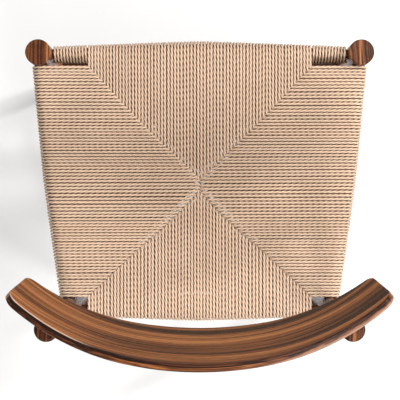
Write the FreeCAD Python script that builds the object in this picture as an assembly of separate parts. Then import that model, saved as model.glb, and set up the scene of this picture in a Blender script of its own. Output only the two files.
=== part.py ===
import FreeCAD, Part
import math
import os

os.makedirs("parts", exist_ok=True)

# A dining chair without arms: turned legs, rails and stretchers, a curved backrest panel,
# and a seat woven from paper cord in the envelope pattern.
# Millimetres, +Z up. The origin is on the floor under the centre of the chair, and the
# sitter faces -Y, so the sitter's left hand is at +X.

# ---------------------------------------------------------------- driving dimensions
FRONT_LEG_X = 222.5
FRONT_LEG_Y = -190.2
REAR_LEG_X = 180.3
REAR_LEG_Y = 165.5
GLIDE_HEIGHT = 3.0
FOOT_RADIUS = 12.5
FOOT_ROUND = 1.2
FRONT_LEG_RADIUS = 17.65
FRONT_LEG_TOP = 465.0
FRONT_LEG_TOP_ROUND = 1.9
REAR_LEG_RADIUS = 17.0
REAR_LEG_TOP = 720.0
REAR_LEG_TOP_RADIUS = 14.5
REAR_LEG_TOP_ROUND = 3.5
LEG_FULL_HEIGHT = 420.0          # where the taper from the foot ends
LEG_TAPER_POWER = 1.4            # how much of the taper lies near the foot and near the rear leg's top

RAIL_HEIGHT = 440.0
FRONT_RAIL_MIDDLE_RADIUS = 14.0
REAR_RAIL_MIDDLE_RADIUS = 12.0
CROSS_RAIL_END_RADIUS = 6.5
CROSS_RAIL_TENON_RADIUS = 6.0
SIDE_RAIL_MIDDLE_RADIUS = 12.6
SIDE_RAIL_END_RADIUS = 9.0
SIDE_RAIL_TENON_RADIUS = 7.0
SPINDLE_POWER = 1.2              # how sharply a turned rail thins from its middle
HOUSING = 2.0                    # how far a rail's shoulder is let into the leg
MITRE_GAP = 0.15
MITRE_BLOCK = 80.0               # longer than any tenon is wide

FRONT_STRETCHER_HEIGHT = 300.0
REAR_STRETCHER_HEIGHT = 300.0
SIDE_STRETCHER_HEIGHTS = {"upper": 332.0, "lower": 212.0}
STRETCHER_MIDDLE_RADIUS = 10.5
STRETCHER_END_RADIUS = 7.5
STRETCHER_TENON_RADIUS = 6.0
STRETCHER_TENON_LENGTH = 14.0

CORD = 4.5                       # paper cord diameter
FIELD_HALF_WIDTH = 155.4
FIELD_FRONT_Y = -172.9           # first side cord, against the back of the front legs
FIELD_REAR_Y = 147.9             # last side cord, just before the rear legs
FRONT_APEX_Y = -15.1
REAR_APEX_Y = -0.7
SEAM_CORNER_RISE = 11.5          # top of the weave over the rails' axis at a field's corner
SEAM_CENTRE_RISE = 6.8           # and at the middle of the seat
RAIL_CLEARANCE = 0.2
LEG_CLEARANCE = 0.1
WRAP_LEG_GAP = 1.2               # bare rail between the front leg and its filler wraps
WRAP_FIELD_GAP = 0.3

PACKING_THICKNESS = 2.4
PACKING_INSET = 7.0

BACK_TOP = 765.0
BACK_BOTTOM = 640.0
BACK_THICKNESS = 9.5
BACK_LEAN = 13.4                 # degrees
BACK_REAR_Y = 209.9              # top rear edge on the centre line
BACK_CENTRE_RADIUS = 446.0
BACK_OUTER_RADIUS = 319.0
BACK_JOIN_X = 82.0               # where the centre arc meets the outer arcs
BACK_END_ANGLE = 40.6
BACK_PROFILE_HALF = 240.0
BACK_TOP_DROP = 19.0
BACK_BOTTOM_RISE = 29.0
BACK_UPPER_CORNER = 20.0
BACK_LOWER_CORNER = 13.0
BACK_EDGE_ROUND = 1.8
BACK_SPARE = 10.0                # extra height of the curved slab before its outline is cut
BACK_ROOM = 400.0                # longer than the panel is deep
BACK_END_ZONE = 200.0            # the end faces lie further out than this

SCREW_HEIGHTS = (692.0, 710.0)
SCREW_RADIUS = 2.0
SCREW_HEAD_RADIUS = 4.0
SCREW_HEAD_LENGTH = 3.0
SCREW_BITE = 6.5                 # depth of the screw in the backrest
PLUG_RADIUS = 4.6
PLUG_LENGTH = 6.0
PLUG_BACK = 14.3                 # plug's outer face from the leg's axis

GLIDE_RADIUS = 10.5
GLIDE_PIN_RADIUS = 2.4
GLIDE_PIN_LENGTH = 15.0
GLIDE_EDGE_ROUND = 0.8

TACK_SHANK_RADIUS = 0.9
TACK_HEAD_RADIUS = 2.4
TACK_HEAD_THICKNESS = 1.0
TACK_LENGTH = 12.0
TACK_STANDOFF = 2.2              # underside of the head to the rail, the flattened cord between them
TACK_INSET = 30.0                # from the first or last side cord

UP = FreeCAD.Vector(0, 0, 1)
ORIGIN = FreeCAD.Vector(0, 0, 0)
SIDES = {"left": 1, "right": -1}


# ---------------------------------------------------------------- small helpers
def point(x, y, z):
    return FreeCAD.Vector(x, y, z)


def save(name, shape):
    """Write one node, after checking that it is a sound closed solid."""
    if not shape.isValid() or shape.Volume <= 0:
        raise RuntimeError("bad solid: " + name)
    shape.exportStep("parts/" + name + ".step")
    print("%-26s solids %d  %8.1f cm3" % (name, len(shape.Solids), shape.Volume / 1000))


def rod(radius, length, start, direction):
    return Part.makeCylinder(radius, length, start, direction)


def revolve_profile(stations, radius_at):
    """A turned solid about Z: a spline through radius_at(z) at the stations, closed on the axis."""
    curve = Part.BSplineCurve()
    curve.interpolate([point(radius_at(z), 0, z) for z in stations])
    low = point(0, 0, stations[0])
    high = point(0, 0, stations[-1])
    edges = [curve.toShape()]
    edges.append(Part.makeLine(curve.EndPoint, high))
    edges.append(Part.makeLine(high, low))
    edges.append(Part.makeLine(low, curve.StartPoint))
    return Part.Face(Part.Wire(edges)).revolve(ORIGIN, UP, 360)


def spaced(low, high, count):
    return [low + (high - low) * step / (count - 1) for step in range(count)]


def end_edges(solid, height):
    """The circular edges of a turned solid at one height."""
    return [edge for edge in solid.Edges
            if abs(edge.BoundBox.ZMin - height) < 0.01 and abs(edge.BoundBox.ZMax - height) < 0.01]


# ---------------------------------------------------------------- legs
def lower_leg_radius(z, full_radius):
    share = max(0.0, 1 - z / LEG_FULL_HEIGHT)
    return full_radius - (full_radius - FOOT_RADIUS) * share ** LEG_TAPER_POWER


def front_leg_radius(z):
    return lower_leg_radius(z, FRONT_LEG_RADIUS)


def rear_leg_radius(z):
    if z <= RAIL_HEIGHT:
        return lower_leg_radius(z, REAR_LEG_RADIUS)
    share = (z - RAIL_HEIGHT) / (REAR_LEG_TOP - RAIL_HEIGHT)
    return REAR_LEG_RADIUS - (REAR_LEG_RADIUS - REAR_LEG_TOP_RADIUS) * share ** LEG_TAPER_POWER


def leg(x, y, top, radius_at, top_round):
    blank = revolve_profile(spaced(GLIDE_HEIGHT, top, 15), radius_at)
    blank = blank.makeFillet(top_round, end_edges(blank, top))
    blank = blank.makeFillet(FOOT_ROUND, end_edges(blank, GLIDE_HEIGHT))
    blank.translate(point(x, y, 0))
    return blank


# ---------------------------------------------------------------- rails and stretchers
def spindle_radius(distance, half, middle_radius, end_radius):
    return middle_radius - (middle_radius - end_radius) * (abs(distance) / half) ** SPINDLE_POWER


def turned_bar(start, end, start_inset, end_inset, middle_radius, end_radius, tenon_radius, tenon):
    """A spindle between two leg axes, with a round tenon at each end.

    The insets are the distances from the legs' axes to the bar's shoulders.
    """
    direction = end.sub(start)
    span = direction.Length
    direction.normalize()
    half = (span - start_inset - end_inset) / 2
    stations = spaced(-half, half, 13)
    body = revolve_profile(stations, lambda z: spindle_radius(z, half, middle_radius, end_radius))
    body = body.fuse(rod(tenon_radius, 2 * (half + tenon), point(0, 0, -half - tenon), UP))
    body.Placement = FreeCAD.Placement(
        start.add(direction * (start_inset + half)), FreeCAD.Rotation(UP, direction))
    return body


def leg_axis(end, side, z):
    x = FRONT_LEG_X if end == "front" else REAR_LEG_X
    y = FRONT_LEG_Y if end == "front" else REAR_LEG_Y
    return point(side * x, y, z)


def leg_radius(end, z):
    return front_leg_radius(z) if end == "front" else rear_leg_radius(z)


def bar_between(first, second, z, middle_radius, end_radius, tenon_radius, tenon):
    """A turned bar between two legs, each given as (front or rear, side sign)."""
    insets = [leg_radius(end, z) - HOUSING for end, side in (first, second)]
    return turned_bar(leg_axis(first[0], first[1], z), leg_axis(second[0], second[1], z),
                      insets[0], insets[1], middle_radius, end_radius, tenon_radius, tenon)


def mitre_block(end, side, keeps_cross_rail):
    """The half of the leg's inside that a rail must leave free, so that two tenons meet in a mitre."""
    corner = leg_axis(end, side, RAIL_HEIGHT)
    other = leg_axis("rear" if end == "front" else "front", side, RAIL_HEIGHT)
    along_side = other.sub(corner)
    along_side.normalize()
    along_cross = point(-side, 0, 0)
    bisector = along_side.add(along_cross)
    bisector.normalize()
    away = along_side.sub(along_cross)
    if not keeps_cross_rail:
        away = away.negative()
    away.normalize()
    reach = MITRE_BLOCK / 2
    block = Part.makeBox(MITRE_BLOCK, reach, MITRE_BLOCK, point(-reach, -MITRE_GAP, -reach))
    frame = FreeCAD.Rotation(bisector, away, UP, "XYZ")
    block.Placement = FreeCAD.Placement(corner, frame)
    return block


def seat_rails():
    tenon = FRONT_LEG_RADIUS
    rails = {}
    for end, middle in (("front", FRONT_RAIL_MIDDLE_RADIUS), ("rear", REAR_RAIL_MIDDLE_RADIUS)):
        rail = bar_between((end, 1), (end, -1), RAIL_HEIGHT, middle, CROSS_RAIL_END_RADIUS,
                           CROSS_RAIL_TENON_RADIUS, tenon)
        for side in SIDES.values():
            rail = rail.cut(mitre_block(end, side, True))
        rails[end + "_seat_rail"] = rail
    for name, side in SIDES.items():
        rail = bar_between(("front", side), ("rear", side), RAIL_HEIGHT, SIDE_RAIL_MIDDLE_RADIUS,
                           SIDE_RAIL_END_RADIUS, SIDE_RAIL_TENON_RADIUS, tenon)
        for end in ("front", "rear"):
            rail = rail.cut(mitre_block(end, side, False))
        rails[name + "_seat_rail"] = rail
    return rails


def stretchers():
    sizes = (STRETCHER_MIDDLE_RADIUS, STRETCHER_END_RADIUS, STRETCHER_TENON_RADIUS, STRETCHER_TENON_LENGTH)
    bars = {}
    bars["front_stretcher"] = bar_between(("front", 1), ("front", -1), FRONT_STRETCHER_HEIGHT, *sizes)
    bars["rear_stretcher"] = bar_between(("rear", 1), ("rear", -1), REAR_STRETCHER_HEIGHT, *sizes)
    for name, side in SIDES.items():
        for level, z in SIDE_STRETCHER_HEIGHTS.items():
            bars[name + "_" + level + "_stretcher"] = bar_between(("front", side), ("rear", side), z, *sizes)
    return bars


# ---------------------------------------------------------------- backrest
LEAN_SLOPE = math.tan(math.radians(BACK_LEAN))
CENTRE_AXIS = point(0, BACK_REAR_Y - BACK_CENTRE_RADIUS, 0)
JOIN_ANGLE = math.degrees(math.asin(BACK_JOIN_X / BACK_CENTRE_RADIUS))


def outer_axis(side):
    """The vertical axis of the tighter arc on one side of the backrest."""
    shift = BACK_CENTRE_RADIUS - BACK_OUTER_RADIUS
    angle = math.radians(JOIN_ANGLE)
    return CENTRE_AXIS.add(point(side * shift * math.sin(angle), shift * math.cos(angle), 0))


def leaning_section():
    """The panel's section on the centre line, a leaning strip a little taller than the panel."""
    low = BACK_BOTTOM - BACK_SPARE
    high = BACK_TOP + BACK_SPARE
    level = BACK_THICKNESS / math.cos(math.radians(BACK_LEAN))
    low_y = BACK_REAR_Y - (BACK_TOP - low) * LEAN_SLOPE
    high_y = BACK_REAR_Y - (BACK_TOP - high) * LEAN_SLOPE
    corners = [point(0, low_y, low), point(0, high_y, high), point(0, high_y - level, high)]
    corners.append(point(0, low_y - level, low))
    corners.append(corners[0])
    return Part.Face(Part.makePolygon(corners))


def backrest_blank():
    """The curved slab: a centre arc and a tighter arc on each side, meeting smoothly."""
    section = leaning_section()
    half_centre = section.copy()
    half_centre.rotate(CENTRE_AXIS, UP, -JOIN_ANGLE)
    slab = half_centre.revolve(CENTRE_AXIS, UP, 2 * JOIN_ANGLE)
    for side in SIDES.values():
        start = section.copy()
        start.rotate(CENTRE_AXIS, UP, -side * JOIN_ANGLE)
        slab = slab.fuse(start.revolve(outer_axis(side), UP, -side * (BACK_END_ANGLE - JOIN_ANGLE)))
    return slab.removeSplitter()


def backrest_outline():
    """The panel's outline from the front, as a block that runs through along Y."""
    half = BACK_PROFILE_HALF
    top_end = BACK_TOP - BACK_TOP_DROP
    bottom_end = BACK_BOTTOM + BACK_BOTTOM_RISE
    upper = [point(-half, 0, top_end), point(0, 0, BACK_TOP), point(half, 0, top_end)]
    lower = [point(half, 0, bottom_end), point(0, 0, BACK_BOTTOM), point(-half, 0, bottom_end)]
    edges = [Part.Arc(*upper).toShape(), Part.makeLine(upper[2], lower[0])]
    edges += [Part.Arc(*lower).toShape(), Part.makeLine(lower[2], upper[0])]
    return Part.Face(Part.Wire(edges)).extrude(point(0, BACK_ROOM, 0))


def corner_edges(panel, upper):
    """The short edges across the panel's thickness at its two ends."""
    middle = (BACK_TOP + BACK_BOTTOM) / 2
    edges = []
    for edge in panel.Edges:
        centre = edge.CenterOfMass
        at_an_end = abs(centre.x) > BACK_END_ZONE and edge.Length < BACK_THICKNESS * 1.5
        if at_an_end and (centre.z > middle) == upper:
            edges.append(edge)
    return edges


def rim_edges(panel):
    """Every edge between the panel's broad faces and its rim."""
    broad = sorted(panel.Faces, key=lambda face: face.Area, reverse=True)[:6]
    edges = []
    for edge in panel.Edges:
        owners = [face for face in panel.Faces if any(own.isSame(edge) for own in face.Edges)]
        inside = [face for face in owners if any(face.isSame(wide) for wide in broad)]
        if len(inside) == 1 and len(owners) == 2:
            edges.append(edge)
    return edges


def backrest_shape():
    panel = backrest_blank().common(backrest_outline())
    panel = panel.makeFillet(BACK_UPPER_CORNER, corner_edges(panel, True))
    panel = panel.makeFillet(BACK_LOWER_CORNER, corner_edges(panel, False))
    return panel.makeFillet(BACK_EDGE_ROUND, rim_edges(panel))


def leg_to_panel(side, z):
    """Unit direction from a rear leg's axis square to the panel, and the distance to its rear face."""
    axis = outer_axis(side)
    reach = point(side * REAR_LEG_X, REAR_LEG_Y, 0).sub(point(axis.x, axis.y, 0))
    distance = reach.Length - (BACK_OUTER_RADIUS - (BACK_TOP - z) * LEAN_SLOPE)
    reach.normalize()
    return reach.negative(), distance


def fixings():
    """The four screws through the rear legs into the panel, and the plugs over their heads."""
    screws = []
    plugs = []
    for side in SIDES.values():
        for z in SCREW_HEIGHTS:
            inward, gap = leg_to_panel(side, z)
            centre = leg_axis("rear", side, z)
            seat = centre.sub(inward * (PLUG_BACK - PLUG_LENGTH))
            shank = PLUG_BACK - PLUG_LENGTH + gap + SCREW_BITE
            head = Part.makeCone(SCREW_HEAD_RADIUS, SCREW_RADIUS, SCREW_HEAD_LENGTH, seat, inward)
            screws.append(head.fuse(rod(SCREW_RADIUS, shank, seat, inward)))
            plug = rod(PLUG_RADIUS, PLUG_LENGTH, centre.sub(inward * PLUG_BACK), inward)
            plugs.append(plug)
    return Part.makeCompound(screws), Part.makeCompound(plugs)


# ---------------------------------------------------------------- woven seat
def cross_rail_radius(end, x):
    middle = FRONT_RAIL_MIDDLE_RADIUS if end == "front" else REAR_RAIL_MIDDLE_RADIUS
    half = (FRONT_LEG_X if end == "front" else REAR_LEG_X) - leg_radius(end, RAIL_HEIGHT) + HOUSING
    return spindle_radius(x, half, middle, CROSS_RAIL_END_RADIUS)


def side_rail_x(y):
    share = (y - FRONT_LEG_Y) / (REAR_LEG_Y - FRONT_LEG_Y)
    return FRONT_LEG_X + (REAR_LEG_X - FRONT_LEG_X) * share


def side_rail_radius(y):
    middle = (FRONT_LEG_Y + REAR_LEG_Y) / 2
    half = (REAR_LEG_Y - FRONT_LEG_Y) / 2 - FRONT_LEG_RADIUS + HOUSING
    return spindle_radius(y - middle, half, SIDE_RAIL_MIDDLE_RADIUS, SIDE_RAIL_END_RADIUS)


def seam_rise(share):
    """Height of the weave's face over the rails' axis, from a field's corner (0) to the centre (1)."""
    return SEAM_CORNER_RISE + (SEAM_CENTRE_RISE - SEAM_CORNER_RISE) * share


def wrap_section(place, rail, seam, radius, rise):
    """One closed section of a field: the top layer, round the rail, and the bottom layer.

    place(u, z) turns a distance across the seat and a height into a point; rail and seam are
    distances across the seat.
    """
    outward = 1 if rail > seam else -1
    top = place(rail, RAIL_HEIGHT + radius)
    bottom = place(rail, RAIL_HEIGHT - radius)
    nose = place(rail + outward * radius, RAIL_HEIGHT)
    seam_top = place(seam, RAIL_HEIGHT + rise)
    seam_bottom = place(seam, RAIL_HEIGHT - rise)
    edges = [Part.makeLine(seam_top, top)]
    edges.append(Part.Arc(top, nose, bottom).toShape())
    edges.append(Part.makeLine(bottom, seam_bottom))
    edges.append(Part.makeLine(seam_bottom, seam_top))
    return Part.Wire(edges)


def field(sections):
    """A hollow field from (place, rail, seam, rail radius, rise) sections."""
    outer = [wrap_section(place, rail, seam, radius + CORD, rise)
             for place, rail, seam, radius, rise in sections]
    inner = [wrap_section(place, rail, seam, radius + RAIL_CLEARANCE, rise - CORD)
             for place, rail, seam, radius, rise in sections]
    return Part.makeLoft(outer, True, True).cut(Part.makeLoft(inner, True, True))


def cross_field(end):
    """The front or rear field: cords that run along Y, from the rail to the two seams."""
    rail = FRONT_LEG_Y if end == "front" else REAR_LEG_Y
    corner = FIELD_FRONT_Y if end == "front" else FIELD_REAR_Y
    apex = FRONT_APEX_Y if end == "front" else REAR_APEX_Y
    sections = []
    for x in spaced(-FIELD_HALF_WIDTH, FIELD_HALF_WIDTH, 13):
        share = 1 - abs(x) / FIELD_HALF_WIDTH
        seam = corner + (apex - corner) * share
        place = lambda u, z, x=x: point(x, u, z)
        sections.append((place, rail, seam, cross_rail_radius(end, x), seam_rise(share)))
    return field(sections)


def side_field(side):
    """The left or right field: cords that run along X, from the side rail to the seams."""
    sections = []
    stretches = ((FIELD_FRONT_Y, FRONT_APEX_Y, FIELD_HALF_WIDTH, 0.0),
                 (REAR_APEX_Y, FIELD_REAR_Y, 0.0, FIELD_HALF_WIDTH))
    for low, high, low_x, high_x in stretches:
        for y in spaced(low, high, 6):
            seam = low_x + (high_x - low_x) * (y - low) / (high - low)
            share = 1 - seam / FIELD_HALF_WIDTH
            place = lambda u, z, y=y: point(u, y, z)
            rail = side * side_rail_x(y)
            sections.append((place, rail, side * seam, side_rail_radius(y), seam_rise(share)))
    leg_room = rod(FRONT_LEG_RADIUS + LEG_CLEARANCE, FRONT_LEG_TOP, leg_axis("front", side, 0), UP)
    return field(sections).cut(leg_room)


def front_wrap(side):
    """The filler turns of cord on the front rail, between a front leg and the front field."""
    start = FIELD_HALF_WIDTH + WRAP_FIELD_GAP
    stop = FRONT_LEG_X - FRONT_LEG_RADIUS - WRAP_LEG_GAP
    stations = spaced(start, stop, 5)
    outer = revolve_profile(stations, lambda x: cross_rail_radius("front", x) + CORD)
    inner = revolve_profile(stations, lambda x: cross_rail_radius("front", x) + RAIL_CLEARANCE)
    sleeve = outer.cut(inner)
    sleeve.Placement = FreeCAD.Placement(
        point(0, FRONT_LEG_Y, RAIL_HEIGHT), FreeCAD.Rotation(UP, point(side, 0, 0)))
    return sleeve


def inset_prism(corners):
    """A card piece of the given outline, drawn in by the inset."""
    outline = Part.makePolygon(corners + [corners[0]])
    card = Part.Face(outline.makeOffset2D(-PACKING_INSET, join=2))
    card.translate(point(0, 0, RAIL_HEIGHT - PACKING_THICKNESS / 2))
    return card.extrude(point(0, 0, PACKING_THICKNESS))


def packing():
    """The card between the two layers of cord, one piece in each field."""
    cards = {}
    for end, corner, apex in (("front", FIELD_FRONT_Y, FRONT_APEX_Y), ("rear", FIELD_REAR_Y, REAR_APEX_Y)):
        cards["seat_packing_" + end] = inset_prism([
            point(-FIELD_HALF_WIDTH, corner, 0),
            point(FIELD_HALF_WIDTH, corner, 0),
            point(0, apex, 0)])
    for name, side in SIDES.items():
        edge = SIDE_RAIL_MIDDLE_RADIUS
        cards["seat_packing_" + name] = inset_prism([
            point(0, FRONT_APEX_Y, 0),
            point(side * FIELD_HALF_WIDTH, FIELD_FRONT_Y, 0),
            point(side * (side_rail_x(FIELD_FRONT_Y) - edge), FIELD_FRONT_Y, 0),
            point(side * (side_rail_x(FIELD_REAR_Y) - edge), FIELD_REAR_Y, 0),
            point(side * FIELD_HALF_WIDTH, FIELD_REAR_Y, 0),
            point(0, REAR_APEX_Y, 0)])
    return cards


def cord_tacks():
    """The tacks that hold the cord's ends, driven into the side rails from inside the seat."""
    tacks = []
    for side in SIDES.values():
        for y in (FIELD_FRONT_Y + TACK_INSET, FIELD_REAR_Y - TACK_INSET):
            surface = side_rail_x(y) - side_rail_radius(y)
            head = point(side * (surface - TACK_STANDOFF - TACK_HEAD_THICKNESS), y, RAIL_HEIGHT)
            outward = point(side, 0, 0)
            tack = rod(TACK_HEAD_RADIUS, TACK_HEAD_THICKNESS, head, outward)
            tacks.append(tack.fuse(rod(TACK_SHANK_RADIUS, TACK_LENGTH, head, outward)))
    return Part.makeCompound(tacks)


# ---------------------------------------------------------------- glides
def glide(end, side):
    foot = leg_axis(end, side, 0)
    disc = rod(GLIDE_RADIUS, GLIDE_HEIGHT, foot, UP)
    disc = disc.makeFillet(GLIDE_EDGE_ROUND, end_edges(disc, 0))
    return disc.fuse(rod(GLIDE_PIN_RADIUS, GLIDE_HEIGHT + GLIDE_PIN_LENGTH, foot, UP))


# ---------------------------------------------------------------- build
def build():
    nodes = {}
    rails = seat_rails()
    bars = stretchers()
    panel = backrest_shape()
    screws, plugs = fixings()
    tacks = cord_tacks()
    glides = {}
    for end in ("front", "rear"):
        for name, side in SIDES.items():
            glides["glide_" + end + "_" + name] = glide(end, side)
    for name, side in SIDES.items():
        front = leg(side * FRONT_LEG_X, FRONT_LEG_Y, FRONT_LEG_TOP, front_leg_radius, FRONT_LEG_TOP_ROUND)
        rear = leg(side * REAR_LEG_X, REAR_LEG_Y, REAR_LEG_TOP, rear_leg_radius, REAR_LEG_TOP_ROUND)
        for part in list(rails.values()) + list(bars.values()) + list(glides.values()):
            front = front.cut(part)
            rear = rear.cut(part)
        for part in (backrest_blank(), screws, plugs):
            rear = rear.cut(part)
        nodes["front_leg_" + name] = front
        nodes["rear_leg_" + name] = rear
    for name in SIDES:
        rails[name + "_seat_rail"] = rails[name + "_seat_rail"].cut(tacks)
    nodes.update(rails)
    nodes.update(bars)
    nodes["backrest"] = panel.cut(screws)
    nodes["backrest_screws"] = screws
    nodes["screw_plugs"] = plugs
    for end in ("front", "rear"):
        nodes["weave_" + end] = cross_field(end)
    for name, side in SIDES.items():
        nodes["weave_" + name] = side_field(side)
        nodes["front_wrap_" + name] = front_wrap(side)
    nodes.update(packing())
    nodes["cord_tacks"] = tacks
    nodes.update(glides)
    return nodes


whole = FreeCAD.BoundBox()
for node_name, node_shape in build().items():
    save(node_name, node_shape)
    whole.add(node_shape.BoundBox)
print("whole", whole)
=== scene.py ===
import math
import bpy
import numpy as np
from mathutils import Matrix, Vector


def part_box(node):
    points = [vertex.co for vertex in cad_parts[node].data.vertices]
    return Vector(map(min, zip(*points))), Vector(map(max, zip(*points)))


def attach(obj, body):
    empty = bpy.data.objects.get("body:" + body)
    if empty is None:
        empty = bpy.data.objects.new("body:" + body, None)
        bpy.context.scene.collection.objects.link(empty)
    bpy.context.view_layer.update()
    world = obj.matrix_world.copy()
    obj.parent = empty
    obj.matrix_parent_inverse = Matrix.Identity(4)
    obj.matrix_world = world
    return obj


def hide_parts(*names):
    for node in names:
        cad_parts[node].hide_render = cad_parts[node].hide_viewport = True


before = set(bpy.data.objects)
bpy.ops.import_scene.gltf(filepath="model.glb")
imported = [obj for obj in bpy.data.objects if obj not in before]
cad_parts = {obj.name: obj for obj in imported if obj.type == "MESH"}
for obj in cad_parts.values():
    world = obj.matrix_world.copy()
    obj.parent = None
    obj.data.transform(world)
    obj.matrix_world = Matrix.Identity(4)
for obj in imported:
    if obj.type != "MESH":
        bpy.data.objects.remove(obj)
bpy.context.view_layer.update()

# ---------------------------------------------------------------- sizes, in metres
# The twisted cord.
PLIES = 3
PLY_SHAPE = (1.0, 0.90, 0.66, 0.90)    # a ply's four points, from its crest: parts of the radius
PLY_CREST = (1.0, 0.7, 0.0, 0.7)       # and how far each of them is out of the grooves
RING_POINTS = PLIES * len(PLY_SHAPE)
CORD_RADIUS = 0.00232            # to the crests
CORD_LAY = 0.0236                # length of one full turn of the twist
CORD_STEP = 0.0028               # spacing of the rings along a cord
CORD_BEDDING = 0.96              # how far its centre line lies off a rail, as a part of its radius
CORD_SIZE_SPREAD = 0.02          # how much thicker or thinner one cord may be than another
CREASE_START_SPREAD = 5          # each cord's creases start somewhere else, within this length
LEAST_POINTS = 8                 # along any cord

# The runs of the weave.
FRONT_RUNS = 35                  # between a front corner and the end of its seam
REAR_RUNS = 34
BRIDGE_RUNS = 3                  # side runs between the two ends of the seams
BRIDGE_END_X = 0.0006            # where those end, from the middle of the seat
RUN_SCATTER = 0.00010            # how far the runs stray from their places
RUN_DRIFT = 0.00008              # and how far they wander on their way
DRIFT_STEP = 0.006
DRIFT_PHASE = 6.3                # each of a run's waves starts within about one full turn
SQUEEZE_LEAST = 0.86             # how wide a cord is between its neighbours, as a part of its width
SQUEEZE_MOST = 1.02
SEAM_CORNER_RISE = 0.0112        # face of the weave over the rails' axis at a field's corner
SEAM_CENTRE_RISE = 0.0066        # and at the middle of the seat
UNDER_DROP = 0.0022              # how far a run sinks to pass below the one that crosses it
OVER_RISE = 0.0007
APEX_SLANT = 0.0009              # how far the runs near the middle slant, one way on each side
APEX_SLANT_POWER = 4
NOSE_STEP = 10                   # degrees between a run's points round its rail
LEAST_REACH = 0.004              # a run's end has no points nearer its rail's axis than this

# A run's last points at its seam, from its end back towards its rail: how far past the seam, how
# high over the run's own level, and how much of OVER_RISE or UNDER_DROP each of them takes.
OVER_END = ((0.0006, -0.0055, 0.0), (0.0003, -0.0024, 0.0), (-0.0010, 0.0, 0.3), (-0.0040, 0.0, 1.0))
UNDER_END = ((0.0050, -0.0012, 1.0), (0.0012, 0.0, 1.0), (-0.0016, 0.0, 0.75), (-0.0055, 0.0, 0.12))

# How the runs crowd and spread between a corner and the end of its seam: the sizes of three
# sine waves of one, two and three half-waves, as parts of the seam's length.
FRONT_X_WAVES = (-0.0107, 0.0, 0.0)
FRONT_Y_WAVES = (0.0085, 0.0, -0.0050)
REAR_X_WAVES = (0.0040, -0.0080, 0.0)
REAR_Y_WAVES = (-0.0160, 0.0070, -0.0060)

# The rails, and the cord's bend round them.
CROSS_RAIL_END_RADIUS = 0.0065
SIDE_RAIL_END_RADIUS = 0.0090
SPINDLE_POWER = 1.2
RAIL_HOUSING = 0.002             # how deep a rail's thick part sits in its leg
BEND_START = -0.003              # where the bend begins, measured inward from the rail's axis
BEND_FULL = -0.011
BEND_PINCH = 0.09                # how much thinner a cord is where it is pulled round its rail
BEND_SHADE = 0.3                 # how much deeper the painted shade in the gaps between cords is there
FRONT_PINCH = 0.9                # how tightly each field is pulled round its rail, which also sets how much shade is painted in its gaps at the bend
REAR_PINCH = 0.0
LEFT_PINCH = 1.8
RIGHT_PINCH = 0.6

# The filler turns beside the front legs.
WRAP_TURNS = 11
WRAP_TURN_POINTS = 40
WRAP_SPARE = 0.25                # room left at each end of the coil, in turns
WRAP_SLACK = 0.0010              # how far the turns stand off the rail on the seat's side
WRAP_LEAST_RADIUS = 0.0078       # inside the turns next to the leg, pushed up in a thicker roll
WRAP_PINCH = 0.6                 # they are all bend, with painted shade in their gaps
WRAP_INNER_PINCH = 1.2           # and tightest, with the deepest painted shade, on the side towards the seat

# The backrest's panel: an arc in the middle and a tighter one on each side, by its rear face.
BACK_CENTRE_RADIUS = 0.446
BACK_OUTER_RADIUS = 0.319
BACK_JOIN_X = 0.082              # where the arcs meet
BACK_LEAN = math.radians(13.4)
BACK_DEPTH = 0.0098              # the panel's thickness, measured level

CAMERA_HEIGHT = 2.2
CAMERA_X = -0.0004
CAMERA_Y = 0.0132
LENS = 113.7
FLOOR_HALF = 9.0
FLOOR_COLOR = (0.90, 0.90, 0.90, 1)
WORLD_STRENGTH = 0.62
LAMP_COLOR = (1.0, 0.995, 0.985)
LIGHTS = (                       # name, place, diameter, power
    ("key_lamp", (-2.3, -1.10, 2.2), 0.35, 46.0),
    ("right_lamp", (-2.2, 0.30, 2.3), 0.9, 9.0),
    ("front_right_lamp", (-0.85, -0.85, 3.0), 0.3, 19.0),
    ("rear_right_lamp", (-0.95, 0.80, 3.0), 0.4, 22.0),
    ("rear_lamp", (-0.45, 1.80, 2.4), 0.5, 20.0),
    ("front_lamp", (0.1, -1.6, 2.6), 0.6, 7.0),
)


# ---------------------------------------------------------------- places from the frame
def middle(node):
    low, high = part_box(node)
    return (low + high) / 2


FRONT_LEG = middle("front_leg_left")
REAR_LEG = middle("rear_leg_left")
FRONT_LEG_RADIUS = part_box("front_leg_left")[1].x - FRONT_LEG.x
REAR_LEG_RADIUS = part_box("rear_leg_left")[1].x - REAR_LEG.x
RAIL_Z = middle("front_seat_rail").z
FRONT_RAIL_Y = middle("front_seat_rail").y
REAR_RAIL_Y = middle("rear_seat_rail").y
FRONT_RAIL_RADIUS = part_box("front_seat_rail")[1].z - RAIL_Z
REAR_RAIL_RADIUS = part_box("rear_seat_rail")[1].z - RAIL_Z
SIDE_RAIL_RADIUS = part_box("left_seat_rail")[1].z - RAIL_Z
FIELD_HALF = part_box("weave_front")[1].x
FRONT_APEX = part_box("weave_front")[1].y
REAR_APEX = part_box("weave_rear")[0].y
FIELD_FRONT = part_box("weave_left")[0].y
FIELD_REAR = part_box("weave_left")[1].y
WRAP_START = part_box("front_wrap_left")[0].x
WRAP_END = FRONT_LEG.x - FRONT_LEG_RADIUS
BACK_LOW, BACK_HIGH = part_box("backrest")


# ---------------------------------------------------------------- camera and light
def make_camera():
    data = bpy.data.cameras.new("camera")
    data.lens = LENS
    camera = bpy.data.objects.new("camera", data)
    camera.location = (CAMERA_X, CAMERA_Y, CAMERA_HEIGHT)
    camera.rotation_euler = (0, 0, math.pi)
    bpy.context.collection.objects.link(camera)
    bpy.context.scene.camera = camera


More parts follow.
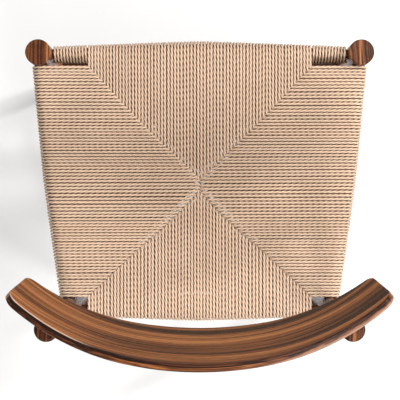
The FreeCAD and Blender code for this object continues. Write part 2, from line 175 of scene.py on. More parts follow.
def area_light(name, location, size, power):
    """A round lamp that points at the origin, on the floor under the chair."""
    data = bpy.data.lights.new(name, "AREA")
    data.shape = "DISK"
    data.size = size
    data.energy = power
    data.color = LAMP_COLOR
    lamp = bpy.data.objects.new(name, data)
    lamp.location = location
    lamp.rotation_euler = (-Vector(location)).to_track_quat("-Z", "Y").to_euler()
    bpy.context.collection.objects.link(lamp)


def make_world():
    world = bpy.data.worlds.new("studio")
    bpy.context.scene.world = world
    world.use_nodes = True
    background = world.node_tree.nodes["Background"]
    background.inputs["Color"].default_value = (1.0, 1.0, 1.0, 1)
    background.inputs["Strength"].default_value = WORLD_STRENGTH


# ---------------------------------------------------------------- node trees
class Shader:
    """One material's node tree, with short calls for the nodes used here."""

    def __init__(self, name, **surface):
        self.material = bpy.data.materials.new(name)
        self.material.use_nodes = True
        self.tree = self.material.node_tree
        self.surface = self.tree.nodes["Principled BSDF"]
        for socket, value in surface.items():
            self.surface.inputs[socket.replace("_", " ")].default_value = value

    def put(self, socket, value):
        if isinstance(value, bpy.types.NodeSocket):
            self.tree.links.new(value, socket)
        else:
            socket.default_value = value

    def node(self, kind, sockets=None, **settings):
        made = self.tree.nodes.new("ShaderNode" + kind)
        for name, value in settings.items():
            setattr(made, name, value)
        for name, value in (sockets or {}).items():
            self.put(made.inputs[name], value)
        return made

    def math(self, operation, first, second=0.0, third=0.0):
        return self.node("Math", {0: first, 1: second, 2: third}, operation=operation).outputs[0]

    def plus(self, first, second):
        return self.math("ADD", first, second)

    def minus(self, first, second):
        return self.math("SUBTRACT", first, second)

    def times(self, first, second):
        return self.math("MULTIPLY", first, second)

    def times_plus(self, first, second, third):
        return self.math("MULTIPLY_ADD", first, second, third)

    def radius(self, x, y):
        return self.math("SQRT", self.times_plus(x, x, self.times(y, y)))

    def position(self):
        return self.node("TexCoord").outputs["Object"]

    def split(self, vector):
        return self.node("SeparateXYZ", {0: vector}).outputs

    def join(self, x, y, z):
        return self.node("CombineXYZ", {0: x, 1: y, 2: z}).outputs[0]

    def scaled(self, vector, scale, shift=0.0):
        sockets = {"Vector": vector, "Scale": scale, "Location": (shift,) * 3}
        return self.node("Mapping", sockets).outputs[0]

    def noise(self, vector, detail=2.0, roughness=0.5):
        sockets = {"Vector": vector, "Scale": 1.0, "Detail": detail, "Roughness": roughness}
        return self.node("TexNoise", sockets).outputs[0]

    def span(self, value, low, high, out_low=0.0, out_high=1.0, curve="SMOOTHSTEP"):
        """Goes from out_low, where value is low, to out_high, where it is high."""
        sockets = {"Value": value, "From Min": low, "From Max": high,
                   "To Min": out_low, "To Max": out_high}
        return self.node("MapRange", sockets, interpolation_type=curve).outputs[0]

    def ramp(self, factor, stops):
        made = self.node("ValToRGB", {0: factor})
        elements = made.color_ramp.elements
        while len(elements) < len(stops):
            elements.new(0.5)
        for element, (place, color) in zip(elements, stops):
            element.position = place
            element.color = (*color, 1)
        return made.outputs[0]

    def mix(self, factor, first, second, blend="MIX"):
        made = self.node("Mix", {0: factor}, data_type="RGBA", blend_type=blend)
        for index, color in ((6, first), (7, second)):
            self.put(made.inputs[index], (*color, 1) if isinstance(color, tuple) else color)
        return made.outputs[2]

    def color(self, value):
        self.put(self.surface.inputs["Base Color"], value)

    def roughness(self, value):
        self.put(self.surface.inputs["Roughness"], value)

    def bump(self, height, distance, strength):
        sockets = {"Height": height, "Distance": distance, "Strength": strength}
        self.put(self.surface.inputs["Normal"], self.node("Bump", sockets).outputs[0])


# In the materials below, most constants with two or four numbers are a call of span: the values
# where it starts and ends, and what it gives there, or 0 and 1. A noise's scale is in cells for
# each metre, and the wood's last number is along the fibres; a grain is a scale and its shift.

# ---------------------------------------------------------------- walnut
WALNUT = (                       # from dark heartwood to the lightest streaks
    (0.00, (0.013, 0.004, 0.002)),
    (0.30, (0.052, 0.015, 0.006)),
    (0.50, (0.115, 0.035, 0.011)),
    (0.70, (0.200, 0.066, 0.020)),
    (1.00, (0.370, 0.142, 0.046)),
)
# colour of the highlights painted along the backrest's edges
EDGE_HIGHLIGHT_COLOR = (0.68, 0.44, 0.32)
PORE_COLOR = (0.018, 0.009, 0.006)
OIL = {"Specular_IOR_Level": 0.15}
OIL_ROUGHNESS = (0.3, 0.7, 0.24, 0.34)
FIBRE_SCALE = (900, 900, 14)
FLOW_SCALE = (90, 90, 4.0)
PORE_SCALE = (2100, 2100, 75)
FLOW_SHIFT = 3.1
PORE_SHIFT = 7.7
PORE_SPAN = (0.60, 0.72)
FIBRE_TONE = 0.44
FLOW_TONE = 0.36
PORE_TONE = 0.55
PORE_ROUGHNESS = 0.25
PORE_DEPTH = 1.3
GRAIN_RELIEF = 0.00012
GRAIN_STRENGTH = 0.6
RINGS_PER_METRE = 300.0
RING_SWAY_SCALE = (9, 9, 2.2)
RING_SWAY = 0.016
RING_SPAN = (0.30, 0.72)
STREAK_TONE = 0.6
STREAK_CORE = 0.6                # part of a streak's width that is fully light
UPRIGHT = (0, 0, 0)              # how a part's wood is turned
ALONG_X = (0, -math.pi / 2, 0)
ALONG_Y = (math.pi / 2, 0, 0)


def wood_grain(shader, grain, bands, seed, tint=0.0, painted_highlight=None):
    """Colour, gloss and pores of oiled walnut.

    grain is a vector in metres whose Z runs along the fibres; bands is a value from 0, dark
    heartwood, to 1, the lightest streaks; painted_highlight is how far the wood is lightened by a
    painted highlight.
    """
    fibres = shader.noise(shader.scaled(grain, FIBRE_SCALE, seed), 3.0, 0.6)
    flow = shader.noise(shader.scaled(grain, FLOW_SCALE, seed + FLOW_SHIFT), 3.0, 0.55)
    pores = shader.noise(shader.scaled(grain, PORE_SCALE, seed + PORE_SHIFT), 1.0)
    pits = shader.span(pores, *PORE_SPAN)
    tone = shader.times_plus(fibres, FIBRE_TONE, bands)
    tone = shader.times_plus(flow, FLOW_TONE, tone)
    tone = shader.plus(tone, tint - (FIBRE_TONE + FLOW_TONE) / 2)
    color = shader.ramp(tone, WALNUT)
    color = shader.mix(shader.times(pits, PORE_TONE), color, PORE_COLOR)
    # Painted highlight: the wood is lightened towards a pale colour where the highlight mask says.
    if painted_highlight is not None:
        color = shader.mix(painted_highlight, color, EDGE_HIGHLIGHT_COLOR)
    shader.color(color)
    oiled = shader.span(fibres, *OIL_ROUGHNESS)
    shader.roughness(shader.times_plus(pits, PORE_ROUGHNESS, oiled))
    relief = shader.minus(fibres, shader.times(pits, PORE_DEPTH))
    shader.bump(relief, GRAIN_RELIEF, GRAIN_STRENGTH)


def turned_walnut(name, turn, pith, seed, tint=0.0, streak=None, lean=None):
    """Walnut for a straight turned part: growth rings about a far pith, parallel to the part.

    pith is its place across the fibres. streak is (x, half width) of one light streak, in
    metres. lean is (x, slope): the tone rises by slope for each metre past x.
    """
    shader = Shader(name, **OIL)
    grain = shader.node("Mapping", {"Vector": shader.position(), "Rotation": turn}).outputs[0]
    x, y, _ = shader.split(grain)
    sway = shader.noise(shader.scaled(grain, RING_SWAY_SCALE, seed))
    radius = shader.radius(shader.minus(x, pith[0]), shader.minus(y, pith[1]))
    radius = shader.times_plus(sway, RING_SWAY, radius)
    rings = shader.join(shader.times(radius, RINGS_PER_METRE), seed, 0.0)
    bands = shader.span(shader.noise(rings, 3.0, 0.65), *RING_SPAN)
    if streak:
        streak_x, half_width = streak
        away = shader.math("ABSOLUTE", shader.minus(x, streak_x))
        light = shader.span(away, half_width, half_width * STREAK_CORE, 0.0, STREAK_TONE)
        bands = shader.plus(bands, light)
    if lean:
        lean_x, slope = lean
        bands = shader.times_plus(shader.minus(x, lean_x), slope, bands)
    wood_grain(shader, grain, bands, seed, tint)
    return shader.material


# ---------------------------------------------------------------- the backrest's walnut
# Tone of its wood by height, as a share of its height on the centre line.
BACK_BANDS = (
    (0.00, 0.52), (0.07, 0.46), (0.10, 0.10), (0.20, 0.14), (0.235, 0.62), (0.34, 0.56),
    (0.42, 0.74), (0.455, 1.00), (0.485, 0.34), (0.60, 0.24), (0.66, 0.38), (0.72, 0.22),
    (0.755, 0.04), (0.785, 0.62), (0.93, 0.70), (0.955, 0.10), (1.00, 0.16))
BACK_SWAY = 0.012                # how far the bands wander up and down
BACK_SWAY_GRAIN = ((10, 10, 3.0), 4.0)
BACK_WIDE_GRAIN = ((170, 200, 1.8), 2.0)
BACK_FINE_GRAIN = ((560, 560, 2.6), 8.0)
BACK_WIDE = (0.36, 0.64, -0.22, 0.22)
BACK_FINE = (0.38, 0.62, -0.28, 0.28)
BACK_MEAN = 0.4                  # tone that the bands' contrast turns about
BACK_CONTRAST = (0.02, 0.17, 0.95, 0.45)        # this, and the painted shade and light below, go by x
# a base tone, less towards the right end: painted shade
BACK_RIGHT_SHADE = (-0.04, -0.18, 0.48, 0.30)
# lighter towards the left end: painted light
BACK_LEFT_LIGHT = (0.08, 0.17, 0.0, 0.21)
BACK_SEED = 5.0
BACK_TINT = 0.02
RIM_FACING = (0.40, 0.80)        # how far a face of the upper rim is turned up
RIM_LIGHT_AND_SHADE = (-0.62 * BACK_DEPTH, -0.42 * BACK_DEPTH, 0.16, 0.62)    # painted light and shade on the upper rim, by depth in the panel: dark at the front, lighter at the rear
RIM_LEFT_SHADE = (0.07, 0.17, 0.0, 0.50)          # by x: painted shade, darker at the left end
RIM_RIGHT_DARKER = (-0.05, -0.15, 0.0, -0.14)      # by x: less of the rim's painted light at the right end, under its painted highlight
ARRIS_LOWER = (0.34, 0.60)       # how far a rounded edge is turned up, between these two
ARRIS_UPPER = (0.99, 0.90)
FRONT_ARRIS = (-0.78 * BACK_DEPTH, -0.90 * BACK_DEPTH)             # by depth
LEFT_ARRIS_HIGHLIGHT = (0.115, 0.155, 0.0, 0.75)            # by x: painted highlight on the front arris at the left end
REAR_HALF = (-0.42 * BACK_DEPTH, -0.10 * BACK_DEPTH)               # by depth
RIGHT_RIM_HIGHLIGHT = (-0.05, -0.14, 0.0, 0.42)           # by x: painted highlight on the rim's rear half at the right end


def backrest_unrolled(shader, x, y, z):
    """A point's depth in the panel and its place along the panel's curve.

    The depth is 0 at the rear face and -BACK_DEPTH at the front one.
    """
    aside = shader.math("ABSOLUTE", x)
    join = math.asin(BACK_JOIN_X / BACK_CENTRE_RADIUS)
    centre_y = BACK_HIGH.y - BACK_CENTRE_RADIUS
    offset = BACK_CENTRE_RADIUS - BACK_OUTER_RADIUS
    from_centre = shader.minus(y, centre_y)
    behind_centre = shader.minus(shader.radius(x, from_centre), BACK_CENTRE_RADIUS)
    outer = shader.radius(shader.minus(aside, offset * math.sin(join)),
                          shader.minus(y, centre_y + offset * math.cos(join)))
    behind_outer = shader.minus(outer, BACK_OUTER_RADIUS)
    past_join = shader.math("GREATER_THAN", aside, BACK_JOIN_X)
    step = shader.minus(behind_outer, behind_centre)
    behind = shader.times_plus(past_join, step, behind_centre)
    below = shader.minus(BACK_HIGH.z, z)
    across = shader.times_plus(below, math.tan(BACK_LEAN), behind)
    along = shader.times(shader.math("ARCTAN2", x, from_centre), BACK_CENTRE_RADIUS)
    return across, along


def backrest_walnut():
    """Walnut whose fibres follow the backrest's curve, in bands that run from end to end, with
    painted light and shade: lighter at the left end, darker at the right and on the upper rim, and
    painted highlights along its edges.
    """
    shader = Shader("backrest_walnut", **OIL)
    x, y, z = shader.split(shader.position())
    across, along = backrest_unrolled(shader, x, y, z)
    grain = shader.join(z, across, along)
    sway = shader.noise(shader.scaled(grain, *BACK_SWAY_GRAIN))
    height = shader.times_plus(sway, BACK_SWAY, z)
    share = shader.span(height, BACK_LOW.z + BACK_SWAY / 2, BACK_HIGH.z + BACK_SWAY / 2,
                        curve="LINEAR")
    base = shader.ramp(share, [(place, (tone, tone, tone)) for place, tone in BACK_BANDS])
    wide = shader.noise(shader.scaled(grain, *BACK_WIDE_GRAIN), 3.0, 0.6)
    wide = shader.span(wide, *BACK_WIDE)
    fine = shader.noise(shader.scaled(grain, *BACK_FINE_GRAIN), 2.0, 0.6)
    fine = shader.span(fine, *BACK_FINE)
    contrast = shader.span(x, *BACK_CONTRAST)
    bands = shader.times_plus(shader.minus(base, BACK_MEAN), contrast, shader.plus(wide, fine))
    # Painted shade on the right end and painted light on the left end.
    bands = shader.plus(bands, shader.span(x, *BACK_RIGHT_SHADE))
    bands = shader.plus(bands, shader.span(x, *BACK_LEFT_LIGHT))

    facing_up = shader.split(shader.node("NewGeometry").outputs["Normal"])[2]
    rim = shader.span(facing_up, *RIM_FACING)
    # On faces of the upper rim the bands give way to painted light and shade: dark at the front,
    # lighter at the rear, darker at both ends.
    rim_light_and_shade = shader.minus(shader.span(across, *RIM_LIGHT_AND_SHADE), shader.span(x, *RIM_LEFT_SHADE))
    rim_light_and_shade = shader.plus(rim_light_and_shade, shader.plus(shader.span(x, *RIM_RIGHT_DARKER), fine))
    bands = shader.plus(bands, shader.times(rim, shader.minus(rim_light_and_shade, bands)))

    # Painted highlights: along the front arris at the left end, and on the rim's rear half at the
    # right end.
    arris = shader.times(shader.span(facing_up, *ARRIS_LOWER), shader.span(facing_up, *ARRIS_UPPER))
    front_arris = shader.times(arris, shader.span(across, *FRONT_ARRIS))
    left_highlight = shader.times(front_arris, shader.span(x, *LEFT_ARRIS_HIGHLIGHT))
    rear_half = shader.times(rim, shader.span(across, *REAR_HALF))
    right_highlight = shader.times(rear_half, shader.span(x, *RIGHT_RIM_HIGHLIGHT))
    wood_grain(shader, grain, bands, BACK_SEED, BACK_TINT, shader.plus(left_highlight, right_highlight))
    return shader.material


# ---------------------------------------------------------------- paper cord
CORD_PALE = (0.65, 0.502, 0.380)
CORD_WARM = (0.61, 0.438, 0.318)
# dark colour of the shade painted in the grooves between plies
CORD_GROOVE_SHADE = (0.30, 0.125, 0.040)
# dark colour of the shade painted in the gaps between runs
CORD_GAP_SHADE = (0.140, 0.044, 0.006)
CREASES_ALONG = 90               # for each metre of cord
CREASES_AROUND = 38              # for each full turn round it
CREASES_RUN = 50                 # keeps one run's creases apart from the next one's
BLOTCH_SCALE = (38, 38, 38)
CORD_TONE = 0.70                 # and what the creases, the blotches and the run add to it
CREASE_TONE = 0.26
BLOTCH_TONE = 0.20
RUN_TONE = 0.10
CREASE_RELIEF = 0.0004
CREASE_STRENGTH = 0.5
SEAT_MIDDLE_DARKER = (0.02, 0.17, 0.86, 1.03)   # by the distance from the seat's middle: darker towards the middle
SEAT_EDGE_LIGHT = (0.20, 0.25, 1.0, 1.12)    # and painted light: lighter at the corners
SEAT_REAR_LIGHT = (0.02, 0.14, 1.0, 1.11)    # by y: painted light, lighter towards the rear
SEAT_LEFT_SHADE = (0.02, 0.15, 1.0, 0.97)    # by x: painted shade, darker on the left
WRAP_SHADE = (0.001, 0.009, 0.0, 0.5)       # painted shade on the filler turns, by the distance behind their rail's axis
WRAP_SHADE_SIDES = (-0.1, 0.1, 1.3, 0.8)    # more painted shade on the right, by x
GROOVE_SHADE_SPAN = (0.75, 0.0)             # painted shade, by how far a point is out of the grooves between plies
GROOVE_SHADE_AMOUNT = 0.62
GAP_SHADE_FACING = (0.46, 0.98)               # painted shade between runs, by how squarely a point faces the next run
GAP_SHADE_CREST = 0.50                 # how much of the painted gap shade a ply's crest takes
GAP_SHADE_REAR = (0.02, 0.12, 1.0, 0.80)     # by y: the painted gap shade is lighter towards the rear


def seat_tone_and_light(shader, shade, x, y):
    """The cord's tone over the seat: darker towards the middle, painted light at the corners and
    towards the rear, painted shade on the left and on the filler turns.
    """
    away = shader.radius(x, shader.minus(y, (FRONT_APEX + REAR_APEX) / 2))
    # Darker towards the middle; painted light at the corners and towards the rear; painted shade on
    # the left.
    for value, change in ((away, SEAT_MIDDLE_DARKER), (away, SEAT_EDGE_LIGHT), (y, SEAT_REAR_LIGHT), (x, SEAT_LEFT_SHADE)):
        shade = shader.times(shade, shader.span(value, *change))
    # Painted shade on the filler turns: deeper behind their rail's axis, and more on the right.
    beyond = shader.math("GREATER_THAN", shader.math("ABSOLUTE", x), FIELD_HALF)
    on_turns = shader.times(beyond, shader.math("LESS_THAN", y, FIELD_FRONT))
    wrap_shade = shader.span(shader.minus(y, FRONT_RAIL_Y), *WRAP_SHADE)
    wrap_shade = shader.times(wrap_shade, shader.span(x, *WRAP_SHADE_SIDES))
    return shader.times(shade, shader.minus(1.0, shader.times(wrap_shade, on_turns)))


def paper_cord():
    """Twisted kraft paper: creased lengthwise, each run and each ply a little different in tone, with
    shade painted into the grooves between plies and the gaps between runs.
    """
    shader = Shader("paper_cord", Roughness=0.75, Specular_IOR_Level=0.06)
    tones = shader.node("Attribute", attribute_name="tone").outputs["Vector"]
    run, ply, crest = shader.split(tones)
    gap_shade = shader.node("Attribute", attribute_name="gap_shade").outputs["Fac"]
    along, around, _ = shader.split(shader.node("UVMap", uv_map="along").outputs[0])
    creases = shader.join(shader.times(along, CREASES_ALONG), shader.times(around, CREASES_AROUND),
                          shader.times(run, CREASES_RUN))
    creases = shader.noise(creases, 2.0, 0.6)
    blotch = shader.noise(shader.scaled(shader.position(), BLOTCH_SCALE))
    warm = shader.times_plus(ply, 0.5, shader.times(run, 0.5))
    color = shader.mix(warm, CORD_PALE, CORD_WARM)
    shade = shader.times_plus(creases, CREASE_TONE, shader.times(blotch, BLOTCH_TONE))
    shade = shader.times_plus(run, RUN_TONE, shader.plus(shade, CORD_TONE))
    x, y, _ = shader.split(shader.position())
    shade = seat_tone_and_light(shader, shade, x, y)
    grey = shader.node("CombineColor", {0: shade, 1: shade, 2: shade}).outputs[0]
    color = shader.mix(1.0, color, grey, "MULTIPLY")
    # Painted shade in the grooves between plies.
    groove = shader.span(crest, *GROOVE_SHADE_SPAN)
    color = shader.mix(shader.times(groove, GROOVE_SHADE_AMOUNT), color, CORD_GROOVE_SHADE)
    # Painted shade in the gaps between runs: less on the plies' crests, and lighter towards the rear.
    depth = shader.times_plus(groove, 1 - GAP_SHADE_CREST, GAP_SHADE_CREST)
    depth = shader.times(depth, shader.span(y, *GAP_SHADE_REAR))
    color = shader.mix(shader.times(shader.span(gap_shade, *GAP_SHADE_FACING), depth), color, CORD_GAP_SHADE)
    shader.color(color)
    shader.bump(creases, CREASE_RELIEF, CREASE_STRENGTH)
    return shader.material


# ---------------------------------------------------------------- other materials
FLECKS = (0.3, 0.7)              # part of the noise that the flecks' two colours span


def flecked(name, scale, dark, light, gloss=None, relief=None, noise=(2.0, 0.5), **surface):
    """A plain finely flecked material. gloss is its roughness at each end; relief is for a bump."""
    shader = Shader(name, **surface)
    flecks = shader.noise(shader.scaled(shader.position(), scale), *noise)
    shader.color(shader.ramp(flecks, tuple(zip(FLECKS, (dark, light)))))
    if gloss:
        shader.roughness(shader.span(flecks, *FLECKS, *gloss))
    if relief:
        shader.bump(flecks, *relief)
    return shader.material


def card():
    return flecked("card", (600, 600, 600), (0.20, 0.13, 0.08), (0.32, 0.22, 0.14),
                   relief=(0.0002, 0.4), noise=(3.0, 0.6), Roughness=0.9, Specular_IOR_Level=0.2)


def steel():
    return flecked("steel", (2500, 2500, 300), (0.42, 0.40, 0.37), (0.60, 0.58, 0.54),
                   gloss=(0.28, 0.42), Metallic=1.0)


def nylon():
    return flecked("nylon", (1400, 1400, 1400), (0.030, 0.022, 0.018), (0.050, 0.038, 0.030),
                   gloss=(0.5, 0.7), relief=(0.0001, 0.3), Specular_IOR_Level=0.4)


def floor_paint():
    shader = Shader("floor_paint", Roughness=0.8, Specular_IOR_Level=0.2)
    shader.color(FLOOR_COLOR)
    return shader.material


def make_floor():
    mesh = bpy.data.meshes.new("floor")
    half = FLOOR_HALF
    corners = [(-half, -half, 0), (half, -half, 0), (half, half, 0), (-half, half, 0)]
    mesh.from_pydata(corners, [], [(0, 1, 2, 3)])
    floor = bpy.data.objects.new("floor", mesh)
    bpy.context.collection.objects.link(floor)
    mesh.materials.append(floor_paint())


def dress(node, material):
    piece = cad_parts[node]
    for slot in range(len(piece.material_slots)):
        piece.material_slots[slot].material = material
    if not piece.material_slots:
        piece.data.materials.append(material)


# ---------------------------------------------------------------- the rails and the seams
def spindle(distance, half, middle_radius, end_radius):
    share = np.abs(distance) / half
    return middle_radius - (middle_radius - end_radius) * share ** SPINDLE_POWER


def cross_rail_radius(front, x):
    leg_x = FRONT_LEG.x if front else REAR_LEG.x
    leg_radius = FRONT_LEG_RADIUS if front else REAR_LEG_RADIUS
    radius = FRONT_RAIL_RADIUS if front else REAR_RAIL_RADIUS
    return spindle(x, leg_x - leg_radius + RAIL_HOUSING, radius, CROSS_RAIL_END_RADIUS)


def side_rail_x(y):
    share = (y - FRONT_LEG.y) / (REAR_LEG.y - FRONT_LEG.y)
    return FRONT_LEG.x + (REAR_LEG.x - FRONT_LEG.x) * share


def side_rail_radius(y):
    centre = (FRONT_LEG.y + REAR_LEG.y) / 2
    half = (REAR_LEG.y - FRONT_LEG.y) / 2 - FRONT_LEG_RADIUS + RAIL_HOUSING
    return spindle(y - centre, half, SIDE_RAIL_RADIUS, SIDE_RAIL_END_RADIUS)


def seam_rise(share):
    return SEAM_CORNER_RISE + (SEAM_CENTRE_RISE - SEAM_CORNER_RISE) * share


def seam_share(share, waves):
    """Where a run lies between its field's corner (0) and the end of the seam (1)."""
    return share + sum(size * math.sin(math.pi * order * share)
                       for order, size in enumerate(waves, 1))


def seam_points(front):
    """For each run that ends on a seam: x, y, its share of the seam, and its room in x and in y."""
    runs = FRONT_RUNS if front else REAR_RUNS
    corner = FIELD_FRONT if front else FIELD_REAR
    apex = FRONT_APEX if front else REAR_APEX
    x_waves = FRONT_X_WAVES if front else REAR_X_WAVES
    y_waves = FRONT_Y_WAVES if front else REAR_Y_WAVES
    places = []
    for index in range(runs):
        shares = [(index + part) / runs for part in (0.0, 0.5, 1.0)]
        x_low, x_here, x_high = [seam_share(share, x_waves) for share in shares]
        y_low, y_here, y_high = [seam_share(share, y_waves) for share in shares]
        places.append((FIELD_HALF * (1 - x_here), corner + (apex - corner) * y_here, shares[1],
                       FIELD_HALF * (x_high - x_low), abs(apex - corner) * (y_high - y_low)))
    return places


# ---------------------------------------------------------------- the cord's geometry
def squeeze(room):
    """The part of its full width that a cord has in the room its neighbours leave."""
    return min(SQUEEZE_MOST, max(SQUEEZE_LEAST, room / (2 * CORD_RADIUS)))


def run_profile(reach, rail_radius, rise, over):
    """The line of one run, seen along its rail, as (distance inward from the rail, height).

    It starts at the upper seam, passes over and round the rail and ends at the lower seam.
    A run that lies over the crossing one ends in a tuck between its neighbours; the other
    sinks and carries on below it.
    """
    round_rail = rail_radius + CORD_RADIUS * CORD_BEDDING
    level = rise - CORD_RADIUS
    change = OVER_RISE if over else -UNDER_DROP
    ends = [(reach + past, level + height + change * part)
            for past, height, part in (OVER_END if over else UNDER_END)]
    turns = [math.radians(angle) for angle in range(90, 270 + NOSE_STEP, NOSE_STEP)]
    nose = [(round_rail * math.cos(turn), round_rail * math.sin(turn)) for turn in turns]
    upper = [end for end in ends if end[0] > LEAST_REACH]
    lower = [(inward, -height) for inward, height in reversed(upper)]
    return np.array(upper + nose + lower)


def resample(points, step):
    """Points evenly spaced along a polyline, and the distance along it of each."""
    lengths = np.linalg.norm(np.diff(points, axis=0), axis=1)
    along = np.concatenate([[0.0], np.cumsum(lengths)])
    count = max(LEAST_POINTS, int(round(along[-1] / step)) + 1)
    stations = np.linspace(0.0, along[-1], count)
    spaced = [np.interp(stations, along, points[:, axis]) for axis in range(3)]
    return np.stack(spaced, axis=1), stations


class CordMesh:
    """Twisted cords gathered into one mesh.

    The attribute tone holds the run's tone, the ply's tone and how far a point is from the
    grooves between plies, where shade is painted; gap_shade says how squarely it faces the
    neighbouring run, more so in the bends, and sets the shade painted between runs. The UV map
    holds the distance along the cord and the way round it, up one side and down the other.
    """

    def __init__(self, seed):
        self.random = np.random.default_rng(seed)
        self.vertices = []
        self.faces = []
        self.caps = []
        self.tones = []
        self.gap_shades = []
        self.places = []
        self.count = 0
        self.length = 0.0

    def add(self, points, side, width, bend):
        """One cord along points.

        side is a unit vector across it, towards its neighbour; width is the part of its full
        width that it has in that direction; bend is a function that says, for each point, how
        far it is into the bend round the rail.
        """
        points, stations = resample(points, CORD_STEP)
        rings = len(points)
        self.length += stations[-1]
        side = np.tile(side, (rings, 1))
        tangent = np.gradient(points, axis=0)
        tangent /= np.linalg.norm(tangent, axis=1)[:, None]
        normal = np.cross(side, tangent)
        normal /= np.linalg.norm(normal, axis=1)[:, None]
        phase = self.random.uniform(0, 2 * math.pi) - 2 * math.pi * stations / CORD_LAY
        spin = phase[:, None] + np.arange(RING_POINTS) * 2 * math.pi / RING_POINTS
        size = self.random.uniform(1 - CORD_SIZE_SPREAD, 1 + CORD_SIZE_SPREAD)
        radius = np.tile(PLY_SHAPE, PLIES) * CORD_RADIUS * size
        sideways = np.sin(spin)
        bent = bend(points)[:, None]
        offset = (normal[:, None, :] * np.cos(spin)[:, :, None]
                  + side[:, None, :] * (sideways * width)[:, :, None])
        thinner = 1 - BEND_PINCH * np.minimum(bent, 1)
        ring = points[:, None, :] + offset * (radius[None, :] * thinner)[:, :, None]
        start = self.count + np.arange(rings - 1)[:, None] * RING_POINTS
        here = np.arange(RING_POINTS)[None, :]
        following = (here + 1) % RING_POINTS
        quads = np.stack([start + here, start + following, start + following + RING_POINTS,
                          start + here + RING_POINTS], axis=2)
        self.vertices.append(ring.reshape(-1, 3))
        self.faces.append(quads.reshape(-1, 4))
        first = self.count + np.arange(RING_POINTS)
        self.caps.append(first[::-1])
        self.caps.append(first + (rings - 1) * RING_POINTS)
        tone = np.empty((rings, RING_POINTS, 3))
        tone[:, :, 0] = self.random.uniform(0, 1)
        tone[:, :, 1] = np.repeat(self.random.uniform(0, 1, PLIES), len(PLY_SHAPE))
        tone[:, :, 2] = np.tile(PLY_CREST, PLIES)
        self.tones.append(tone.reshape(-1, 3))
        self.gap_shades.append((np.abs(sideways) * (1 + BEND_SHADE * bent)).ravel())
        place = np.empty((rings, RING_POINTS, 2))
        place[:, :, 0] = stations[:, None] + self.random.uniform(0, CREASE_START_SPREAD)
        place[:, :, 1] = np.minimum(here, RING_POINTS - here) / RING_POINTS
        self.places.append(place.reshape(-1, 2))
        self.count += rings * RING_POINTS

    def build(self, name, material):
        vertices = np.concatenate(self.vertices)
        quads = np.concatenate(self.faces)
        corners = np.concatenate([quads.ravel()] + self.caps).astype(np.int32)
        sizes = [4] * len(quads) + [RING_POINTS] * len(self.caps)
        starts = np.concatenate([[0], np.cumsum(sizes)[:-1]]).astype(np.int32)
        mesh = bpy.data.meshes.new(name)
        mesh.vertices.add(len(vertices))
        mesh.vertices.foreach_set("co", vertices.ravel())
        mesh.loops.add(len(corners))
        mesh.loops.foreach_set("vertex_index", corners)
        mesh.polygons.add(len(sizes))
        mesh.polygons.foreach_set("loop_start", starts)
        mesh.polygons.foreach_set("use_smooth", [True] * len(sizes))
        mesh.update(calc_edges=True)
        tones = mesh.attributes.new("tone", "FLOAT_VECTOR", "POINT")
        tones.data.foreach_set("vector", np.concatenate(self.tones).ravel())
        gap_shades = mesh.attributes.new("gap_shade", "FLOAT", "POINT")
        gap_shades.data.foreach_set("value", np.concatenate(self.gap_shades))
        layer = mesh.uv_layers.new(name="along")
        layer.data.foreach_set("uv", np.concatenate(self.places)[corners].ravel())
        mesh.materials.append(material)
        mesh.validate()
        piece = bpy.data.objects.new(name, mesh)
        bpy.context.collection.objects.link(piece)
        return piece


# ---------------------------------------------------------------- the weave
def bend_share(inward):
    """How far a point, so far inward of the rail's axis, is into the bend round the rail."""
    return np.clip((inward - BEND_START) / (BEND_FULL - BEND_START), 0, 1)


def drift(random, count):
    """How far each of a cord's points wanders sideways: a slow wave, different for each cord."""
    along = np.linspace(0, 1, count)
    return sum(random.normal(0, RUN_DRIFT / order)
               * np.sin(math.pi * order * along + random.uniform(0, DRIFT_PHASE))
               for order in (1, 2, 3))


def cross_field(front, over_side, seed):
    """The front or rear field, whose runs lie along Y.

    over_side is the half, +1 or -1, whose runs lie on top at the seam.
    """
    cords = CordMesh(seed)
    rail_y = FRONT_RAIL_Y if front else REAR_RAIL_Y
    inward = 1 if front else -1
    pinch = FRONT_PINCH if front else REAR_PINCH
    for side in (1, -1):
        over = side == over_side
        for x, seam, share, room, _ in seam_points(front):
            reach = (seam - rail_y) * inward
            profile = run_profile(reach, cross_rail_radius(front, x), seam_rise(share), over)
            points = np.empty((len(profile), 3))
            points[:, 0] = side * x + cords.random.normal(0, RUN_SCATTER)
            points[:, 1] = rail_y + inward * profile[:, 0]
            points[:, 2] = RAIL_Z + profile[:, 1]
            points, _ = resample(points, DRIFT_STEP)
            points[:, 0] += drift(cords.random, len(points))
            cords.add(points, (1, 0, 0), squeeze(room),
                      lambda at: pinch * bend_share(inward * (at[:, 1] - rail_y)))
    return cords


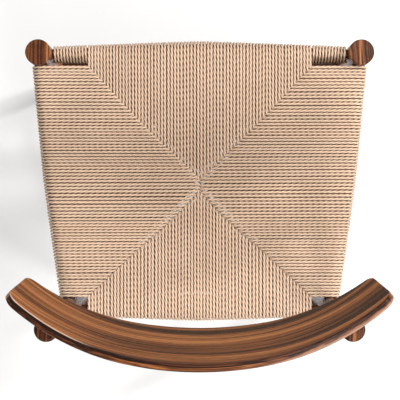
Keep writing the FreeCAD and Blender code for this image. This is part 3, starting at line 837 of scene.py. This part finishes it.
def side_field(side, seed):
    """The left or right field, whose runs lie along X."""
    cords = CordMesh(seed)
    runs = [(y, x, share, room, side > 0) for x, y, share, _, room in seam_points(True)]
    runs += [(y, x, share, room, side < 0) for x, y, share, _, room in seam_points(False)]
    pinch = LEFT_PINCH if side > 0 else RIGHT_PINCH
    room = (REAR_APEX - FRONT_APEX) / BRIDGE_RUNS
    for index in range(BRIDGE_RUNS):
        runs.append((FRONT_APEX + room * (index + 0.5), BRIDGE_END_X, 1.0, room, True))
    for y, seam, share, room, over in runs:
        rail_x = side_rail_x(y)
        profile = run_profile(rail_x - seam, side_rail_radius(y), seam_rise(share), over)
        points = np.empty((len(profile), 3))
        inward_share = np.clip(profile[:, 0] / (rail_x - seam), 0, 1)
        slant = APEX_SLANT * share ** APEX_SLANT_POWER * inward_share
        points[:, 0] = side * (rail_x - profile[:, 0])
        points[:, 1] = y + cords.random.normal(0, RUN_SCATTER) - side * slant
        points[:, 2] = RAIL_Z + profile[:, 1]
        points, _ = resample(points, DRIFT_STEP)
        points[:, 1] += drift(cords.random, len(points))
        cords.add(points, (0, 1, 0), squeeze(room),
                  lambda at: pinch * bend_share(rail_x - side * at[:, 0]))
    return cords


def front_wraps(side, seed):
    """The filler turns beside a front leg: one cord coiled round the rail."""
    cords = CordMesh(seed)
    turned = np.linspace(0, 2 * math.pi * WRAP_TURNS, WRAP_TURNS * WRAP_TURN_POINTS)
    pitch = (WRAP_END - WRAP_START) / (WRAP_TURNS + 2 * WRAP_SPARE)
    x = WRAP_START + pitch * (WRAP_SPARE + turned / (2 * math.pi))
    inside = np.maximum(cross_rail_radius(True, x) + WRAP_SLACK, WRAP_LEAST_RADIUS)
    radius = inside + CORD_RADIUS * CORD_BEDDING
    y = FRONT_RAIL_Y + WRAP_SLACK + radius * np.cos(turned)
    points = np.stack([side * x, y, RAIL_Z + radius * np.sin(turned)], axis=1)

    def tightness(places):
        inner = np.clip((places[:, 1] - FRONT_RAIL_Y) / FRONT_RAIL_RADIUS, 0, 1)
        return WRAP_PINCH + WRAP_INNER_PINCH * inner

    cords.add(points, (1, 0, 0), squeeze(pitch), tightness)
    return cords


# ---------------------------------------------------------------- put together
make_camera()
make_world()
for lamp in LIGHTS:
    area_light(*lamp)
make_floor()

cord_paint = paper_cord()
weave = {
    "weave_front": cross_field(True, -1, seed=11),
    "weave_rear": cross_field(False, 1, seed=12),
    "weave_left": side_field(1, seed=21),
    "weave_right": side_field(-1, seed=22),
    "front_wrap_left": front_wraps(1, seed=31),
    "front_wrap_right": front_wraps(-1, seed=32),
}
for node_name, cord_mesh in weave.items():
    piece = cord_mesh.build(node_name + "_cord", cord_paint)
    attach(piece, "root")
    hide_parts(node_name)
print("cord length in metres", round(sum(mesh.length for mesh in weave.values()), 1))

left_streak = (FRONT_LEG.x - 0.0175, 0.0085)
right_streak = (-0.2209, 0.0016)
right_lean = (-FRONT_LEG.x, 9.0)
dress("front_leg_left", turned_walnut("walnut_front_left", UPRIGHT, pith=(1.3, -0.17), seed=1.3,
                                      tint=-0.20, streak=left_streak))
dress("front_leg_right", turned_walnut("walnut_front_right", UPRIGHT, pith=(-1.2, -0.18), seed=2.9,
                                       tint=-0.06, streak=right_streak, lean=right_lean))
dress("rear_leg_left", turned_walnut("walnut_rear_left", UPRIGHT, pith=(1.2, 0.10), seed=4.1,
                                     tint=-0.08))
dress("rear_leg_right", turned_walnut("walnut_rear_right", UPRIGHT, pith=(-1.1, 0.20), seed=6.3,
                                      tint=-0.02))
cross_wood = turned_walnut("walnut_cross", ALONG_X, pith=(0.36, 0.08), seed=8.2)
# The seat rails' walnut is darkened: painted shade where they show in the dark gaps under the cord.
seat_rail_wood_shaded = turned_walnut("walnut_rail_painted_shade", ALONG_X, pith=(0.40, 0.12), seed=8.9, tint=-0.30)
side_wood = turned_walnut("walnut_side", ALONG_Y, pith=(0.10, -0.38), seed=9.6)
dress("backrest", backrest_walnut())
dress("screw_plugs", turned_walnut("walnut_plugs", ALONG_X, pith=(0.6, 0.1), seed=12.0, tint=-0.1))
card_paint = card()
steel_paint = steel()
nylon_paint = nylon()
dress("backrest_screws", steel_paint)
dress("cord_tacks", steel_paint)
for node_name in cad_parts:
    if node_name in ("front_seat_rail", "rear_seat_rail"):
        dress(node_name, seat_rail_wood_shaded)
    elif node_name in ("front_stretcher", "rear_stretcher"):
        dress(node_name, cross_wood)
    elif node_name.endswith(("_seat_rail", "_stretcher")):
        dress(node_name, side_wood)
    elif node_name.startswith("seat_packing"):
        dress(node_name, card_paint)
    elif node_name.startswith("glide"):
        dress(node_name, nylon_paint)

bpy.context.scene.view_settings.view_transform = "Standard"
